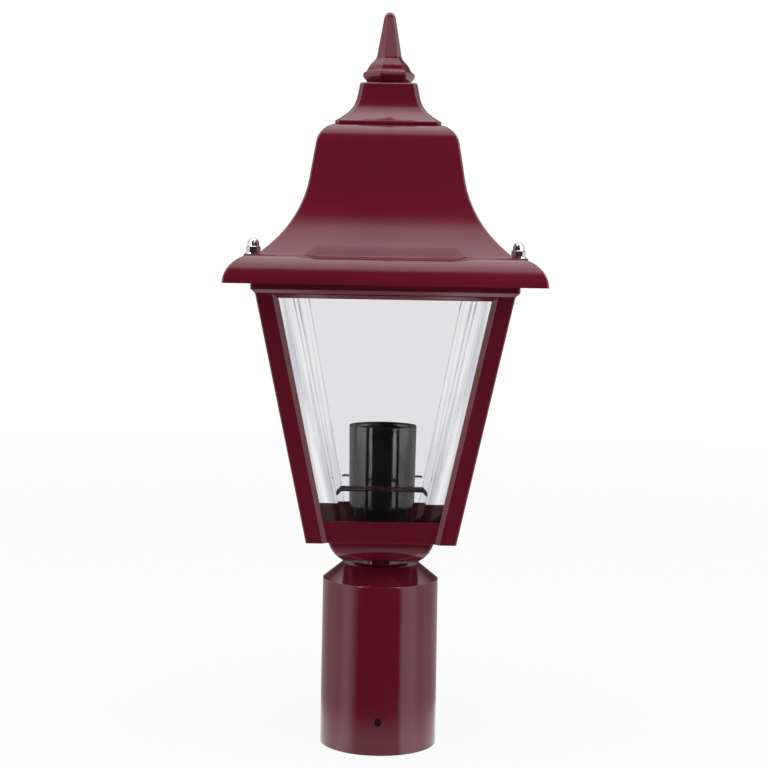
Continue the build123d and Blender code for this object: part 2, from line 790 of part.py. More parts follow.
keep("holder_cover", make_cover())
keep("holder_skirt", make_skirt())
keep("contact_plate", cylinder(block_r, plate_z, block_z))
keep("terminal_block", make_block())
keep("lamp_barrel", make_barrel())
for name, y in contact_spots.items():
    keep(f"contact_{name}", make_contact(y))
    keep(f"contact_spring_{name}", make_contact_spring(y))
for name, side in sides.items():
    keep(f"terminal_{name}", make_terminal(side))
    keep(f"terminal_screw_{name}", make_terminal_screw(side))

cup_z = floor_z + earth_boss_h
cup = ring(earth_cup_r, earth_screw_r + earth_cup_gap, cup_z, cup_z + earth_cup_t, earth_x, earth_y)
keep("earth_screw", make_earth_screw())
keep("earth_washer", cup)
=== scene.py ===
import json
from math import cos, pi, radians, sin, tan

import bmesh
import bpy
import numpy as np
from mathutils import Matrix, Vector


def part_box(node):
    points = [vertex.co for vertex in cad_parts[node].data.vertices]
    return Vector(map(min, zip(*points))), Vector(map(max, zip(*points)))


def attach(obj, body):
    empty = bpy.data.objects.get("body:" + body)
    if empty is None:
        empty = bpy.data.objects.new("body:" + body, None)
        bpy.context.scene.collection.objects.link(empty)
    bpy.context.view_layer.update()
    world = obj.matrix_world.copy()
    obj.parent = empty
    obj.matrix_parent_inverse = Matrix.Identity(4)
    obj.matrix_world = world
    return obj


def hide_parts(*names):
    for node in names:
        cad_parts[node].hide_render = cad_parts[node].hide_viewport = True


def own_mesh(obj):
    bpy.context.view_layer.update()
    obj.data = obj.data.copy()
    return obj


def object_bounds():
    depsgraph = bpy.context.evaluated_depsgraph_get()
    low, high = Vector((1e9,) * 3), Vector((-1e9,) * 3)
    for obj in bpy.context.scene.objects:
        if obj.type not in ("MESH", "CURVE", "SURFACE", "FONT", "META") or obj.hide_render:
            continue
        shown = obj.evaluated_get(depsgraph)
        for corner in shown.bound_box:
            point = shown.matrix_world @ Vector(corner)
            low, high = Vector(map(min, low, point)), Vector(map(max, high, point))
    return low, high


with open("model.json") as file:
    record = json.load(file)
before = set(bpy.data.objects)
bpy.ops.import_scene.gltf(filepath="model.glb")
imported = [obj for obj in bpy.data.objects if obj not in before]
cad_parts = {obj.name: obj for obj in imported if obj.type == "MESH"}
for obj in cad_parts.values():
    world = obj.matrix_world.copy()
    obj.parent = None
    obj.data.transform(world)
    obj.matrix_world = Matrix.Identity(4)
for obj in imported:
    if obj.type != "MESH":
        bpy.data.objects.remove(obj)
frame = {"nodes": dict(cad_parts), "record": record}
nodes = frame["nodes"]
cadLow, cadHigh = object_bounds()
mm = 0.001    # pieces are worked out in millimetres, and the frame is in metres
print("frame loaded:", len(nodes), "nodes")


class Wire:
    # one socket of a shader tree, so that shader sums can be written as sums
    def __init__(self, tree, socket):
        self.tree = tree
        self.socket = socket

    def maths(self, operation, *terms):
        return self.tree.node("ShaderNodeMath", {"operation": operation}, dict(enumerate(terms)))

    def __add__(self, other):
        return self.maths("ADD", self, other)

    def __radd__(self, other):
        return self.maths("ADD", other, self)

    def __sub__(self, other):
        return self.maths("SUBTRACT", self, other)

    def __rsub__(self, other):
        return self.maths("SUBTRACT", other, self)

    def __mul__(self, other):
        return self.maths("MULTIPLY", self, other)

    def __rmul__(self, other):
        return self.maths("MULTIPLY", other, self)

    def __truediv__(self, other):
        return self.maths("DIVIDE", self, other)

    def __pow__(self, other):
        return self.maths("POWER", self, other)

    def __abs__(self):
        return self.maths("ABSOLUTE", self)

    def least(self, other):
        return self.maths("MINIMUM", self, other)

    def degreesOver(self, other):
        # the angle whose tangent is this over the other
        return self.maths("ARCTAN2", self, other) * (180 / pi)


class Tree:
    # the nodes of one material or world
    def __init__(self, owner):
        owner.use_nodes = True
        self.owner = owner
        self.nodes = owner.node_tree.nodes
        self.links = owner.node_tree.links
        self.nodes.clear()

    def node(self, kind, settings=None, values=None, out=0):
        # settings come first, then each socket gets its value or link; out is the output handed back
        made = self.nodes.new(kind)
        for key, value in (settings or {}).items():
            setattr(made, key, value)
        for key, value in (values or {}).items():
            if isinstance(value, Wire):
                self.links.new(value.socket, made.inputs[key])
            else:
                made.inputs[key].default_value = value
        return Wire(self, made.outputs[out])

    def place(self):
        return self.node("ShaderNodeTexCoord", out="Object")

    def parts(self, vector):
        return [self.node("ShaderNodeSeparateXYZ", {}, {0: vector}, out=axis) for axis in range(3)]

    def noise(self, size, detail=2.0, rough=0.5):
        # size is the pattern's grain in metres
        return self.node("ShaderNodeTexNoise", {}, {
            "Vector": self.place(), "Scale": 1 / size, "Detail": detail, "Roughness": rough}, out="Fac")

    def mix(self, factor, first, second):
        return self.node("ShaderNodeMix", {"data_type": "RGBA"}, {0: factor, 6: first, 7: second}, out=2)

    def span(self, value, low, high, start=0.0, end=1.0):
        # value from low..high is carried on to start..end, and held at both
        return self.node("ShaderNodeMapRange", {"clamp": True, "interpolation_type": "SMOOTHSTEP"},
                         {0: value, 1: low, 2: high, 3: start, 4: end})

    def bump(self, height, distance):
        return self.node("ShaderNodeBump", {}, {"Height": height, "Distance": distance, "Strength": 1.0})

    def grey(self, level):
        return self.node("ShaderNodeCombineXYZ", {}, {0: level, 1: level, 2: level})

    def principled(self, values):
        return self.node("ShaderNodeBsdfPrincipled", {}, values)

    def surface(self, shader):
        world = isinstance(self.owner, bpy.types.World)
        end = self.nodes.new("ShaderNodeOutputWorld" if world else "ShaderNodeOutputMaterial")
        self.links.new(shader.socket, end.inputs["Surface"])
        return self.owner


def colour(*values):
    return (*values, 1.0)


coatLook = {"dark": (0.104, 0.0054, 0.0140), "light": (0.122, 0.0072, 0.0180), "roughLow": 0.07,
            "roughHigh": 0.13, "cloud": 0.055, "cloudFrom": 0.35, "cloudTo": 0.65, "cloudShare": 0.6,
            "peel": 0.0018, "peelHigh": 0.000032, "dust": 0.0004, "dustHigh": 0.08, "ior": 1.5}


def burgundyCoat():
    # gloss powder coat: a slow drift of tone, orange peel, and fine dust nibs in the sheen
    v = coatLook
    t = Tree(bpy.data.materials.new("burgundyCoat"))
    cloud = t.span(t.noise(v["cloud"], detail=3), v["cloudFrom"], v["cloudTo"])
    peel = t.noise(v["peel"])
    dust = t.noise(v["dust"], detail=1)
    sheen = cloud * v["cloudShare"] + dust * (1 - v["cloudShare"])
    return t.surface(t.principled({
        "Base Color": t.mix(cloud, colour(*v["dark"]), colour(*v["light"])),
        "Roughness": v["roughLow"] + (v["roughHigh"] - v["roughLow"]) * sheen,
        "Normal": t.bump(peel + dust * v["dustHigh"], v["peelHigh"]), "IOR": v["ior"]}))


stripLook = {"dark": (0.028, 0.010, 0.015), "light": (0.055, 0.024, 0.032), "roughLow": 0.22, "roughMore": 0.14,
             "metallic": 0.35, "patch": 0.006, "patchFrom": 0.3, "patchTo": 0.7, "grain": 0.0008,
             "grainHigh": 0.00001}


def paintedStrip():
    # thin dark paint over steel, a little patchy
    v = stripLook
    t = Tree(bpy.data.materials.new("paintedStrip"))
    patch = t.span(t.noise(v["patch"], detail=3), v["patchFrom"], v["patchTo"])
    return t.surface(t.principled({
        "Base Color": t.mix(patch, colour(*v["dark"]), colour(*v["light"])),
        "Roughness": v["roughLow"] + patch * v["roughMore"], "Metallic": v["metallic"],
        "Normal": t.bump(t.noise(v["grain"]), v["grainHigh"])}))


# in metres: foot is the lantern's half width at the height footUp, and slope is how fast it widens
# the bevel's pale and grey tones and the dark line colour here are painted refraction, not tints of the glass
glassLook = {"flat": (0.940, 0.940, 0.950), "bright": (0.985, 0.985, 0.99), "refractedGreyStreak": (0.80, 0.80, 0.83),
             "line": (0.30, 0.30, 0.33), "shadow": (0.86, 0.88, 0.87), "foot": 0.0404, "footUp": 0.1185,
             "slope": 0.2, "bevelIn": 0.0213, "bevelSoft": 0.0004, "lineHalf": 0.00032, "lineFrom": 0.4,
             "lineTo": 1.6, "streakWide": 0.0022, "streakLong": 0.09, "streakFrom": 0.42, "streakTo": 0.62,
             "darkFrom": 0.236, "darkTo": 0.244, "darkLow": 0.42, "darkHigh": 0.9, "patch": 0.012,
             "patchFrom": 0.35, "patchTo": 0.6, "patchLow": 0.55, "smear": 0.035, "smearFrom": 0.5,
             "smearTo": 0.8, "roughLow": 0.004, "roughMore": 0.02, "ior": 1.5}


def clearGlass():
    # clear pane: a thin painted dark line where the bevel starts and painted pale and grey streaks along the
    # ground bevel, which stand in for what the bevel refracts, and faint smears all over. The distance in from
    # the lantern's corner is its half width at that height less the place along the pane, which is the smaller
    # of |x| and |y|
    v = glassLook
    t = Tree(bpy.data.materials.new("clearGlass"))
    x, y, z = t.parts(t.place())
    inset = v["foot"] + (z - v["footUp"]) * v["slope"] - abs(x).least(abs(y))
    offLine = abs(inset - v["bevelIn"])
    # painted dark line where the bevel starts, standing in for the bevel's edge seen in refraction
    line = t.span(offLine, v["lineHalf"] * v["lineFrom"], v["lineHalf"] * v["lineTo"], 1.0, 0.0)
    ground = t.span(inset, v["bevelIn"] + v["bevelSoft"], v["bevelIn"] - v["bevelSoft"])
    # painted pale and grey streaks along the bevel, standing in for what the bevel refracts
    stretched = t.node("ShaderNodeCombineXYZ", {}, {0: inset / v["streakWide"], 1: z / v["streakLong"], 2: 0.0})
    fine = t.node("ShaderNodeTexNoise", {}, {"Vector": stretched, "Scale": 1.0, "Detail": 2.0}, out="Fac")
    smear = t.span(t.noise(v["smear"], detail=4, rough=0.6), v["smearFrom"], v["smearTo"])
    bevel = t.mix(t.span(fine, v["streakFrom"], v["streakTo"]), colour(*v["bright"]), colour(*v["refractedGreyStreak"]))
    # the painted line is stronger high on the pane than low, and weaker in noise patches
    dark = t.span(z, v["darkFrom"], v["darkTo"], v["darkLow"], v["darkHigh"]) \
        * t.span(t.noise(v["patch"]), v["patchFrom"], v["patchTo"], v["patchLow"], 1.0)
    # the pane's colour carries the painted refraction line and streaks
    tone = t.mix(line * dark, t.mix(ground, colour(*v["flat"]), bevel), colour(*v["line"]))
    pane = t.principled({"Base Color": tone, "Roughness": v["roughLow"] + smear * v["roughMore"],
                         "IOR": v["ior"], "Transmission Weight": 1.0})
    through = t.node("ShaderNodeBsdfTransparent", {}, {"Color": colour(*v["shadow"])})
    shadowRay = t.node("ShaderNodeLightPath", out="Is Shadow Ray")
    return t.surface(t.node("ShaderNodeMixShader", {}, {0: shadowRay, 1: pane, 2: through}))


bakeliteLook = {"dark": (0.0045, 0.0047, 0.0055), "light": (0.0075, 0.0078, 0.0090), "flow": 0.004,
                "flowFrom": 0.35, "flowTo": 0.7, "roughLow": 0.10, "roughMore": 0.07, "roughFrom": 0.3,
                "roughTo": 0.8, "grain": 0.0005, "grainShare": 0.2, "high": 0.000012, "ior": 1.56}


def blackBakelite():
    # glossy black moulding with faint flow lines
    v = bakeliteLook
    t = Tree(bpy.data.materials.new("blackBakelite"))
    flow = t.noise(v["flow"], detail=4, rough=0.65)
    grain = t.noise(v["grain"])
    return t.surface(t.principled({
        "Base Color": t.mix(t.span(flow, v["flowFrom"], v["flowTo"]), colour(*v["dark"]), colour(*v["light"])),
        "Roughness": v["roughLow"] + t.span(flow, v["roughFrom"], v["roughTo"]) * v["roughMore"],
        "IOR": v["ior"], "Normal": t.bump(flow + grain * v["grainShare"], v["high"])}))


metalLooks = {
    "stainless": {"dark": (0.62, 0.62, 0.62), "light": (0.74, 0.74, 0.73), "roughLow": 0.08,
                  "roughHigh": 0.2, "grain": 0.0006, "high": 0.000004},
    "zincSteel": {"dark": (0.50, 0.52, 0.54), "light": (0.66, 0.68, 0.70), "roughLow": 0.24,
                  "roughHigh": 0.42, "grain": 0.0009, "high": 0.000010},
    "brightBrass": {"dark": (0.66, 0.45, 0.17), "light": (0.80, 0.60, 0.27), "roughLow": 0.14,
                    "roughHigh": 0.30, "grain": 0.0007, "high": 0.000006},
    "blackSteel": {"dark": (0.010, 0.006, 0.007), "light": (0.020, 0.012, 0.013), "roughLow": 0.42,
                   "roughHigh": 0.6, "grain": 0.0005, "high": 0.000008}}
plainLooks = {
    "blackRubber": {"dark": (0.010, 0.010, 0.010), "light": (0.022, 0.022, 0.022), "roughLow": 0.55,
                    "roughHigh": 0.8, "grain": 0.0007, "high": 0.00003},
    "fibrePlate": {"dark": (0.27, 0.17, 0.09), "light": (0.42, 0.29, 0.17), "roughLow": 0.6,
                   "roughHigh": 0.85, "grain": 0.0005, "high": 0.00003},
    "whiteCeramic": {"dark": (0.72, 0.70, 0.65), "light": (0.82, 0.81, 0.78), "roughLow": 0.18,
                     "roughHigh": 0.35, "grain": 0.0012, "high": 0.00001}}
drifting = {"metal": 6, "plain": 8, "from": 0.3, "to": 0.7, "share": 0.5}    # the drift's size in grains


def metal(name):
    # a metal whose tone and sheen drift with one noise, and whose skin has a fine grain
    v, d = metalLooks[name], drifting
    t = Tree(bpy.data.materials.new(name))
    drift = t.span(t.noise(v["grain"] * d["metal"], detail=3), d["from"], d["to"])
    fine = t.noise(v["grain"])
    sheen = drift * d["share"] + fine * (1 - d["share"])
    return t.surface(t.principled({
        "Base Color": t.mix(drift, colour(*v["dark"]), colour(*v["light"])), "Metallic": 1.0,
        "Roughness": v["roughLow"] + sheen * (v["roughHigh"] - v["roughLow"]),
        "Normal": t.bump(fine, v["high"])}))


def plain(name):
    # the same for what isn't metal: ceramic, board, rubber
    v, d = plainLooks[name], drifting
    t = Tree(bpy.data.materials.new(name))
    drift = t.span(t.noise(v["grain"] * d["plain"], detail=3), d["from"], d["to"])
    fine = t.noise(v["grain"], detail=3, rough=0.6)
    tone = drift * d["share"] + fine * (1 - d["share"])
    return t.surface(t.principled({
        "Base Color": t.mix(tone, colour(*v["dark"]), colour(*v["light"])),
        "Roughness": v["roughLow"] + fine * (v["roughHigh"] - v["roughLow"]),
        "Normal": t.bump(fine, v["high"])}))


looks = {
    "burgundy_coat": burgundyCoat(),
    "clear_glass": clearGlass(),
    "painted_strip": paintedStrip(),
    "black_bakelite": blackBakelite(),
    "stainless": metal("stainless"),
    "zinc_steel": metal("zincSteel"),
    "bright_brass": metal("brightBrass"),
    "black_steel": metal("blackSteel"),
    "black_rubber": plain("blackRubber"),
    "fibre_plate": plain("fibrePlate"),
    "white_ceramic": plain("whiteCeramic"),
}
nodeSlot = {part["node"]: part["material_slot"] for part in frame["record"]["subparts"]}
for name, node in nodes.items():
    node.data.materials.clear()
    node.data.materials.append(looks[nodeSlot[name]])
print("materials:", len(looks))

bodyOf = {node: body for body, group in frame["record"]["behaviour"]["bodies"].items() for node in group}


def boxMM(name):
    low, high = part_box(name)
    return np.array(low) / mm, np.array(high) / mm


def grid(points, closedAlong=False, caps=False):
    # rows of points, each row closed on itself, become a sheet of quads; closedAlong joins the last row to
    # the first, and caps closes both with one face each
    rows, columns = points.shape[:2]
    row, column = np.meshgrid(np.arange(rows if closedAlong else rows - 1), np.arange(columns), indexing="ij")
    here = row * columns + column
    right = row * columns + (column + 1) % columns
    above = ((row + 1) % rows) * columns + column
    aboveRight = ((row + 1) % rows) * columns + (column + 1) % columns
    faces = np.stack([here, right, aboveRight, above], -1).reshape(-1, 4).tolist()
    if caps:
        last = (rows - 1) * columns
        faces += [list(range(columns))[::-1], list(range(last, last + columns))]
    return points.reshape(-1, 3), faces


def joined(*shapes):
    # several point and face lists as one
    places, faces, count = [], [], 0
    for points, quads in shapes:
        places.append(points)
        faces += [[index + count for index in quad] for quad in quads]
        count += len(points)
    return np.concatenate(places), faces


def spun(shape, degrees):
    # a shape turned counterclockwise, seen from above, about the lantern's axis
    points, faces = shape
    a = radians(degrees)
    return points @ np.array([[cos(a), sin(a), 0], [-sin(a), cos(a), 0], [0, 0, 1]]), faces


weld = 0.002    # mm between points that become one


def piece(name, shape, like, sharp=38.0, replaced=True):
    # a mesh in millimetres becomes a finished piece that takes the place and the finish of a node
    points, faces = shape
    mesh = bpy.data.meshes.new(name)
    mesh.from_pydata((points * mm).tolist(), [], faces)
    work = bmesh.new()
    work.from_mesh(mesh)
    bmesh.ops.remove_doubles(work, verts=work.verts, dist=weld * mm)
    bmesh.ops.dissolve_degenerate(work, edges=work.edges, dist=weld * mm / 4)
    bmesh.ops.recalc_face_normals(work, faces=work.faces)
    work.to_mesh(mesh)
    work.free()
    mesh.shade_smooth()
    mesh.set_sharp_from_angle(angle=radians(sharp))
    made = bpy.data.objects.new(name, mesh)
    bpy.context.scene.collection.objects.link(made)
    even = made.modifiers.new("evenShading", "WEIGHTED_NORMAL")
    even.keep_sharp = True
    mesh.materials.append(looks[nodeSlot[like]])
    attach(made, bodyOf[like])
    if replaced:
        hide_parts(like)
    return made


def rounded(corners, radii, steps=5, closed=True):
    # an outline whose corners turn on arcs: each arc is tangent to the two sides that meet there
    here = np.array(corners, float)
    radius = np.broadcast_to(np.array(radii, float), len(here)).copy()
    before, after = np.roll(here, 1, 0) - here, np.roll(here, -1, 0) - here
    if not closed:
        radius[[0, -1]] = 0
        before[0], after[-1] = after[0] * -1, before[-1] * -1
    before /= np.linalg.norm(before, axis=1, keepdims=True)
    after /= np.linalg.norm(after, axis=1, keepdims=True)
    half = np.arccos(np.clip((before * after).sum(1), -1, 1)) / 2
    reach = radius / np.tan(half)
    centre = here + (before + after) / np.maximum(np.linalg.norm(before + after, axis=1), 1e-9)[:, None] \
        * (radius / np.sin(half))[:, None]
    start = here + before * reach[:, None] - centre
    end = here + after * reach[:, None] - centre
    along = np.linspace(0, 1, steps + 1)[None, :, None]
    spoke = start[:, None] * (1 - along) + end[:, None] * along
    length = np.maximum(np.linalg.norm(spoke, axis=2, keepdims=True), 1e-12)
    arcs = centre[:, None] + spoke / length * radius[:, None, None]
    square = (radius < 1e-9)[:, None, None]
    return np.where(square, here[:, None], arcs).reshape(-1, 2)


def arcThrough(a, b, c, steps):
    # circle through three points, from the first to the last: its centre is as far from all three
    a, b, c = (np.array(p, float) for p in (a, b, c))
    centre = np.linalg.solve(2 * np.array([b - a, c - a]), [b @ b - a @ a, c @ c - a @ a])
    first, last = (np.arctan2(*(p - centre)[::-1]) for p in (a, c))
    angle = np.linspace(first, last, steps + 1)
    return centre + np.linalg.norm(a - centre) * np.stack([np.cos(angle), np.sin(angle)], -1)


def smoothLine(points, perSpan, ends=None):
    # natural cubic spline through the points, spaced by the length of its chords; ends may fix the slopes
    # at its two ends
    knots = np.array(points, float)
    chord = np.linalg.norm(np.diff(knots, axis=0), axis=1)
    count = len(knots)
    system, target = np.zeros((count, count)), np.zeros((count, 2))
    for i in range(1, count - 1):
        system[i, i - 1:i + 2] = chord[i], 2 * (chord[i - 1] + chord[i]), chord[i - 1]
        target[i] = 3 * (chord[i] * (knots[i] - knots[i - 1]) / chord[i - 1]
                         + chord[i - 1] * (knots[i + 1] - knots[i]) / chord[i])
    if ends is None:
        system[0, :2], system[-1, -2:] = (2, 1), (1, 2)
        target[0] = 3 * (knots[1] - knots[0]) / chord[0]
        target[-1] = 3 * (knots[-1] - knots[-2]) / chord[-1]
    else:
        system[0, 0] = system[-1, -1] = 1
        target[[0, -1]] = [np.array(e, float) / np.linalg.norm(e) for e in ends]
    slope = np.linalg.solve(system, target)
    t = np.linspace(0, 1, perSpan + 1)[None, :-1, None]
    size = chord[:, None, None]
    line = ((2 * t ** 3 - 3 * t ** 2 + 1) * knots[:-1, None]
            + (t ** 3 - 2 * t ** 2 + t) * size * slope[:-1, None]
            + (3 * t ** 2 - 2 * t ** 3) * knots[1:, None] + (t ** 3 - t ** 2) * size * slope[1:, None])
    return np.concatenate([line.reshape(-1, 2), knots[-1:]])


def ellipse(centre, reach, angle):
    # points round a centre: the reach outwards by the angle's cosine, and the reach upwards by its sine
    return np.concatenate([centre[0] + reach[0] * np.cos(angle), centre[1] + reach[1] * np.sin(angle)], 1)


def stacked(plans, heights):
    # one plan outline at each height
    return np.concatenate([plans, np.repeat(heights[:, None, None], plans.shape[1], 1)], -1)


def turned(outline, centre=(0, 0), turns=96):
    # an outline of radius and height goes round the vertical through the centre
    angle = np.linspace(0, 2 * pi, turns, endpoint=False)
    r, z = outline[:, :1], outline[:, 1:]
    points = np.stack([centre[0] + r * np.cos(angle), centre[1] + r * np.sin(angle), z + 0 * angle], -1)
    return grid(points, closedAlong=True)


def sidedPoints(outline, corner, sides=4, turn=-90.0, flats=None, arcSteps=6, centre=(0, 0)):
    # an outline of half width and height goes round a regular polygon: a flat stretch on each side at that
    # half width, and arcs of the corner's radius between them
    half, height = outline[:, 0], outline[:, 1]
    radius = np.minimum(np.broadcast_to(corner, half.shape), half)
    halfTurn = pi / sides
    stretch = ((half - radius) * tan(halfTurn))[:, None]
    along = stretch * np.linspace(-1, 1, 5)[None] if flats is None else flats(stretch)
    out = np.repeat(half[:, None], along.shape[1], 1)
    bend = np.linspace(0, 2 * halfTurn, arcSteps + 1)[None, 1:-1]
    out = np.concatenate([out, (half - radius)[:, None] + radius[:, None] * np.cos(bend)], 1)
    along = np.concatenate([along, stretch + radius[:, None] * np.sin(bend)], 1)
    angle = radians(turn) + 2 * halfTurn * np.arange(sides)[:, None]
    x = out[:, None] * np.cos(angle) - along[:, None] * np.sin(angle)
    y = out[:, None] * np.sin(angle) + along[:, None] * np.cos(angle)
    return stacked(np.stack([x, y], -1).reshape(len(half), -1, 2) + np.array(centre), height)


def sided(outline, corner, **ways):
    # the same, as a closed mesh
    return grid(sidedPoints(outline, corner, **ways), closedAlong=True)


sleeve = {"footHalf": 32.5, "topHalf": 32.1, "shoulder": 92.9, "coneTop": 101.6, "coneHalf": 21.3,
          "neckHalf": 15.1, "bore": 30.4, "boreTop": 86.0, "coneStep": 1.4, "wall": 2.8, "stemHole": 5.2,
          "edge": 0.7, "footEdge": 0.3, "fillet": 1.2, "neckEdge": 0.4, "insideEdge": 0.5}


def postSleeve():
    # one outline, up the outside, over the cone and neck, and back down inside, goes round the axis
    v = sleeve
    top = boxMM("post_sleeve")[1][2]
    ceiling = v["coneTop"] - v["wall"]
    corners = [(v["footHalf"], 0), (v["topHalf"], v["shoulder"]), (v["coneHalf"], v["coneTop"]),
               (v["neckHalf"], v["coneTop"]), (v["neckHalf"], top), (v["stemHole"], top),
               (v["stemHole"], ceiling), (v["coneHalf"] - v["coneStep"], ceiling),
               (v["bore"] - v["coneStep"], v["boreTop"]), (v["bore"], v["boreTop"]), (v["bore"], 0)]
    radii = [v["footEdge"], v["edge"], v["edge"], v["fillet"], v["neckEdge"], 0, 0, v["insideEdge"], 0, 0,
             v["footEdge"]]
    piece("postSleeve", turned(rounded(corners, radii), turns=128), "post_sleeve", sharp=30)


bowl = {"foot": 20.9, "middle": 26.3, "middleUp": 5.6, "top": 29.0, "corner": 1.6, "wall": 2.5, "hole": 5.2}


def baseBowl():
    # a square dish whose wall is an arc, hollow inside
    v = bowl
    low, high = (corner[2] for corner in boxMM("base_bowl"))
    outside = arcThrough((v["foot"], low), (v["middle"], low + v["middleUp"]), (v["top"], high), steps=12)
    inside = arcThrough((v["foot"] - v["wall"], low + v["wall"]),
                        (v["middle"] - v["wall"], low + v["middleUp"]), (v["top"] - v["wall"], high), steps=12)
    outline = np.concatenate([[(v["hole"], low)], outside, inside[::-1], [(v["hole"], low + v["wall"])]])
    piece("baseBowl", sided(outline, v["corner"]), "base_bowl")


lantern = {"foot": 40.4, "top": 67.26, "height": 134.3, "wall": 4.0, "glass": 4.0, "margin": 2.6,
           "barFace": 8.9, "barCorner": 1.0, "barEdge": 0.35, "barShort": 0.05, "barLevels": 9,
           "rimHalf": 69.6, "rimSlope": 2.3, "rimHeight": 14.3, "rimWall": 4.1, "rimStep": 1.5,
           "rimEdge": 0.6, "rimInner": 0.5, "rimFine": 0.3, "railEdge": 0.2, "rimCorner": 1.0,
           "windowDrop": 2.3, "earWide": 13.0, "earThick": 4.0, "earDrop": 3.5, "earReach": 78.4,
           "earRoot": 1.0, "earCorner": 2.0}
footZ = boxMM("base_tray")[0][2]
topZ = footZ + lantern["height"]
barTop = topZ - lantern["barShort"]
lean = (lantern["top"] - lantern["foot"]) / lantern["height"]


def halfAt(z):
    # half width over the bars at a height
    return lantern["foot"] + (z - footZ) * (lantern["top"] - lantern["foot"]) / lantern["height"]


def cornerBars():
    # the bar's plan outline slides out along the diagonal as it rises
    v = lantern
    inner = v["barFace"] + v["margin"]
    edge = v["barEdge"]
    plan = rounded([(0, 0), (v["barFace"], 0), (inner, v["margin"]), (inner, v["wall"]),
                    (v["wall"], v["wall"]), (v["wall"], inner), (v["margin"], inner), (0, v["barFace"])],
                   [v["barCorner"], edge, edge, 0, 0, 0, edge, edge], steps=4)
    heights = np.linspace(footZ, barTop, v["barLevels"])
    bar = grid(stacked(plan[None] - halfAt(heights)[:, None, None], heights), caps=True)
    for turn, name in ((0, "front_left"), (90, "front_right"), (180, "rear_right"), (270, "rear_left")):
        piece("bar_" + name, spun(bar, turn), "corner_bar_" + name, sharp=30)


def frameRim():
    # the rail over the windows and the rim above it are one square ring; an ear stands out at each stud
    v = lantern
    windowZ = topZ - v["windowDrop"]
    rimZ = topZ + v["rimHeight"]
    inside = v["rimHalf"] - v["rimWall"]
    corners = [(halfAt(windowZ) - v["margin"], windowZ),
               (halfAt(windowZ + v["margin"]), min(windowZ + v["margin"], barTop)), (v["top"], topZ),
               (v["rimHalf"], topZ + v["rimSlope"]), (v["rimHalf"], rimZ), (inside, rimZ),
               (inside, topZ + v["rimStep"]), (v["top"] - v["wall"], topZ),
               (halfAt(windowZ) - v["wall"], windowZ)]
    radii = [v["rimFine"], 0, v["rimFine"], v["rimEdge"], v["rimInner"], v["rimFine"], 0, 0, v["railEdge"]]
    ring = sided(rounded(corners, radii), v["rimCorner"])
    root, halfEar = v["rimHalf"] - v["earRoot"], v["earWide"] / 2
    plan = rounded([(root, -halfEar), (v["earReach"], -halfEar), (v["earReach"], halfEar), (root, halfEar)],
                   [0, v["earCorner"], v["earCorner"], 0])
    earTop = rimZ - v["earDrop"]
    levels = np.array([earTop - v["earThick"], earTop])
    ears = [grid(stacked(np.repeat((plan * side)[None], 2, 0), levels), caps=True) for side in (-1, 1)]
    piece("frameRim", joined(ring, *ears), "frame_rim", sharp=30)


tray = {"height": 12.0, "floor": 1.4, "edge": 0.35, "floorFillet": 0.8, "corner": 0.6, "bossHalf": 3.5,
        "bossHole": 2.0, "bossRoot": 0.5, "bossEdge": 0.4}


def baseTray():
    # shallow square pan, its walls set back between the bars, with the earth screw's boss on the floor
    v = tray
    back, thick = lantern["margin"], lantern["wall"]
    high, floor = footZ + v["height"], footZ + v["floor"]
    corners = [(bowl["hole"], footZ), (halfAt(footZ) - back, footZ), (halfAt(high) - back, high),
               (halfAt(high) - thick, high), (halfAt(floor) - thick, floor), (bowl["hole"], floor)]
    pan = sided(rounded(corners, [0, v["edge"], v["edge"], v["edge"], v["floorFillet"], 0]), v["corner"])
    washerLow, washerHigh = boxMM("earth_washer")
    middle = (washerLow + washerHigh)[:2] / 2
    root, top = floor - v["bossRoot"], washerLow[2]
    boss = rounded([(v["bossHole"], root), (v["bossHalf"], root), (v["bossHalf"], top), (v["bossHole"], top)],
                   [0, 0, v["bossEdge"], 0])
    piece("baseTray", joined(pan, turned(boss, middle, turns=40)), "base_tray", sharp=30)


# tips: how far each end goes on past the bend, out and down
strips = {"half": 22.2, "tips": {"front": (2.3, 2.7), "rear": (1.0, 0.5)}, "thick": 0.8, "width": 7.0,
          "bend": 1.0, "edge": 0.18}


def stripBase(name):
    # where the strip's upper face meets the pane's inner face, on the axis
    z = boxMM("glass_strip_" + name)[1][2] - strips["width"] * lean / np.hypot(1, lean)
    return np.array([0, lantern["wall"] + lantern["glass"] - halfAt(z), z])


def glassStrips():
    # the strip's thin outline is carried along its bent centre line, square to the pane
    v = strips
    inward = np.array([0, 1, lean]) / np.hypot(1, lean)
    down = np.cross(inward, [1, 0, 0])
    across = rounded([(0, 0), (v["width"], 0), (v["width"], v["thick"]), (0, v["thick"])], v["edge"], steps=3)
    for name, turn in (("front", 0), ("rear", 180)):
        tipOut, tipDown = v["tips"][name]
        path = rounded([(-v["half"] - tipOut, tipDown), (-v["half"], 0), (v["half"], 0),
                        (v["half"] + tipOut, tipDown)], min(v["bend"], tipOut / 2), steps=6, closed=False)
        path = path[np.append(True, np.abs(np.diff(path, axis=0)).sum(1) > 1e-9)]    # repeated points go
        step = np.gradient(path, axis=0)
        step /= np.linalg.norm(step, axis=1, keepdims=True)
        normal = np.stack([-step[:, 1], step[:, 0]], -1)
        flat = path[:, None] + normal[:, None] * across[None, :, 1:]
        points = flat[..., :1] * np.array([1.0, 0, 0]) + flat[..., 1:] * down + across[None, :, :1] * inward
        shape = grid(points + stripBase(name), caps=True)
        piece("glassStrip_" + name, spun(shape, turn), "glass_strip_" + name, sharp=40)


